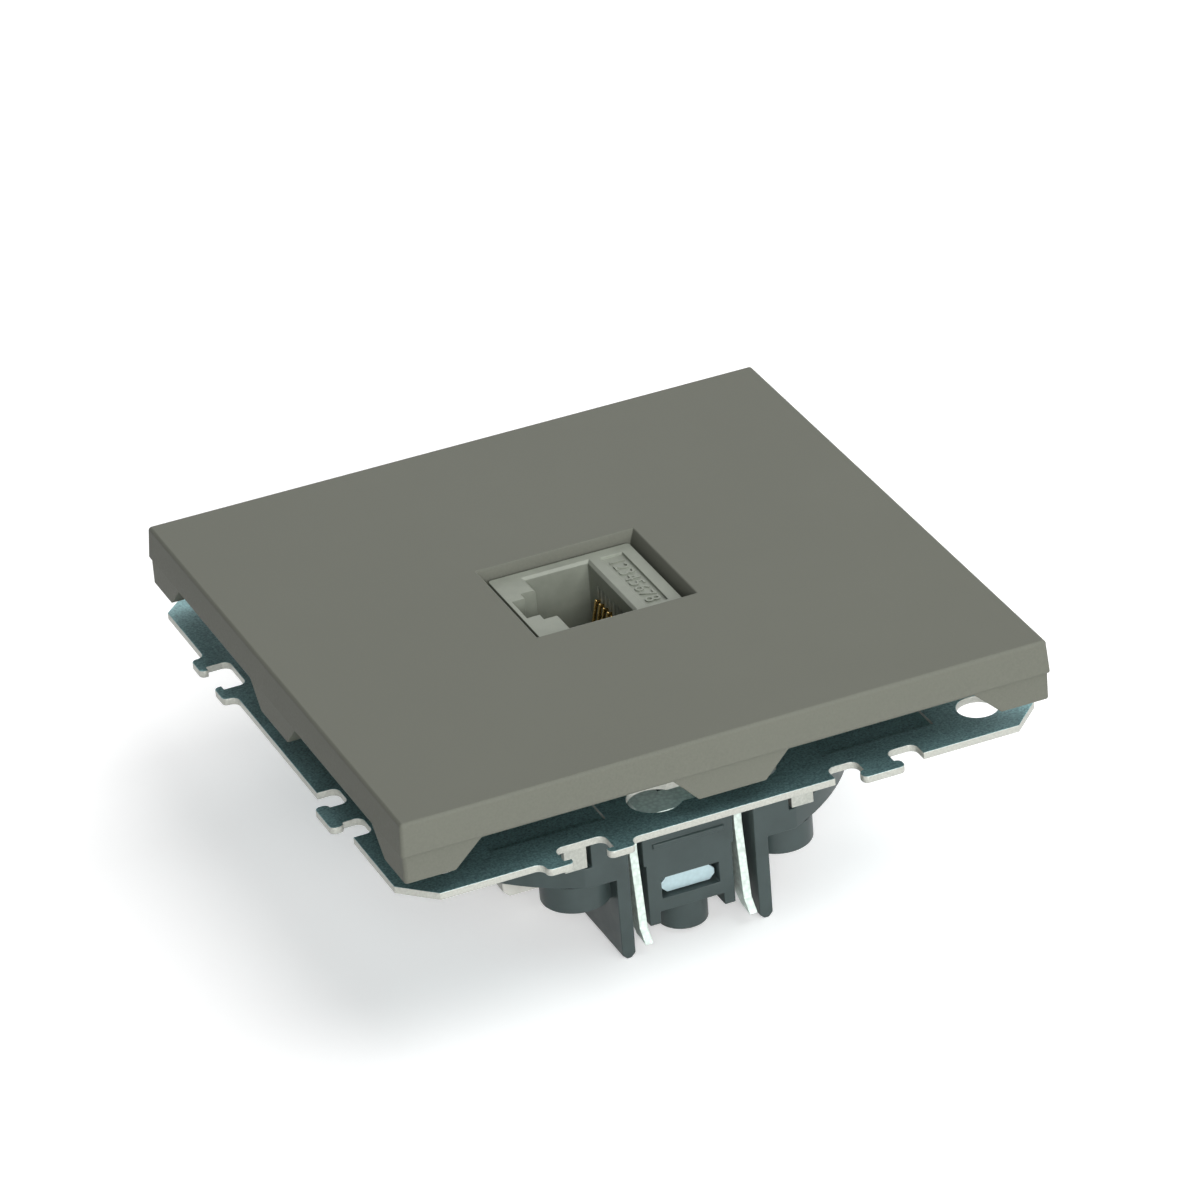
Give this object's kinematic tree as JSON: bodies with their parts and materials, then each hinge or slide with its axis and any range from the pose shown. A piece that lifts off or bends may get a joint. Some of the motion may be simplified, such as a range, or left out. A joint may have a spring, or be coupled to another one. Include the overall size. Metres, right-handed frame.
{
  "type": "ethernet wall socket",
  "caption": "Square flush wall socket with a network jack in a pull-off cover, a hooked steel support plate and a plastic base with spreader claws.",
  "frame": {"origin": "centre of the support plate's back face, which lies on the wall", "axes": "+Z out of the wall, +X up the wall with the jack's contacts on top, +Y to the left seen from the room"},
  "size_m": [0.074, 0.074, 0.0308],
  "materials": {
    "cover_plastic": "fine-grained soft-touch matte, warm grey",
    "plate_steel": "zinc-plated sheet, satin",
    "base_plastic": "moulded, dark blue-grey, satin",
    "jack_plastic": "moulded, pale green-grey, satin",
    "board_laminate": "solder resist over glass laminate",
    "block_plastic": "moulded, off-white",
    "claw_steel": "bright zinc",
    "screw_steel": "zinc-plated, turned",
    "contact_gold": "gold-plated wire",
    "terminal_tin": "tin-plated bronze"
  },
  "bodies": {
    "base": {"support_plate": "plate_steel", "base_body": "base_plastic", "jack_frame": "base_plastic", "jack_housing": "jack_plastic", "circuit_board": "board_laminate", "idc_block_left": "block_plastic", "idc_block_right": "block_plastic", "base_screws": "screw_steel", "contact_wire_1": "contact_gold", "idc_terminal_1": "terminal_tin", "contact_wire_2": "contact_gold", "idc_terminal_2": "terminal_tin", "contact_wire_3": "contact_gold", "idc_terminal_3": "terminal_tin", "contact_wire_4": "contact_gold", "idc_terminal_4": "terminal_tin", "contact_wire_5": "contact_gold", "idc_terminal_5": "terminal_tin", "contact_wire_6": "contact_gold", "idc_terminal_6": "terminal_tin", "contact_wire_7": "contact_gold", "idc_terminal_7": "terminal_tin", "contact_wire_8": "contact_gold", "idc_terminal_8": "terminal_tin"},
    "cover": {"cover_plate": "cover_plastic"},
    "screw_front": {"claw_screw_front": "screw_steel"},
    "screw_back": {"claw_screw_back": "screw_steel"},
    "nut_front": {"claw_nut_front": "claw_steel"},
    "nut_back": {"claw_nut_back": "claw_steel"},
    "claw_front_arm": {"claw_front": "claw_steel"},
    "claw_back_arm": {"claw_back": "claw_steel"}
  },
  "joints": [
    {"name": "cover_pull", "type": "slide", "parent": "base", "child": "cover", "axis": [0, 0, 1], "range_m": [0, 0.02]},
    {"name": "screw_front_turn", "type": "hinge", "parent": "base", "child": "screw_front", "pos_m": [0, -0.0197, 0], "axis": [0, 0, 1], "range_deg": [0, 1800]},
    {"name": "nut_front_lift", "type": "slide", "parent": "base", "child": "nut_front", "axis": [0, 0, 1], "range_m": [0, 0.0035]},
    {"name": "claw_front_swing", "type": "hinge", "parent": "base", "child": "claw_front_arm", "pos_m": [0, -0.0155, -0.003], "axis": [-1, 0, 0], "range_deg": [0, 14]},
    {"name": "screw_back_turn", "type": "hinge", "parent": "base", "child": "screw_back", "pos_m": [0, 0.0197, 0], "axis": [0, 0, 1], "range_deg": [0, 1800]},
    {"name": "nut_back_lift", "type": "slide", "parent": "base", "child": "nut_back", "axis": [0, 0, 1], "range_m": [0, 0.0035]},
    {"name": "claw_back_swing", "type": "hinge", "parent": "base", "child": "claw_back_arm", "pos_m": [0, 0.0155, -0.003], "axis": [1, 0, 0], "range_deg": [0, 14]}
  ],
  "couplings": [
    {"joint": "nut_front_lift", "follows": "claw_front_swing", "m_per_rad": 0.014323},
    {"joint": "screw_front_turn", "follows": "claw_front_swing", "ratio": 128.56},
    {"joint": "nut_back_lift", "follows": "claw_back_swing", "m_per_rad": 0.014323},
    {"joint": "screw_back_turn", "follows": "claw_back_swing", "ratio": 128.56}
  ]
}
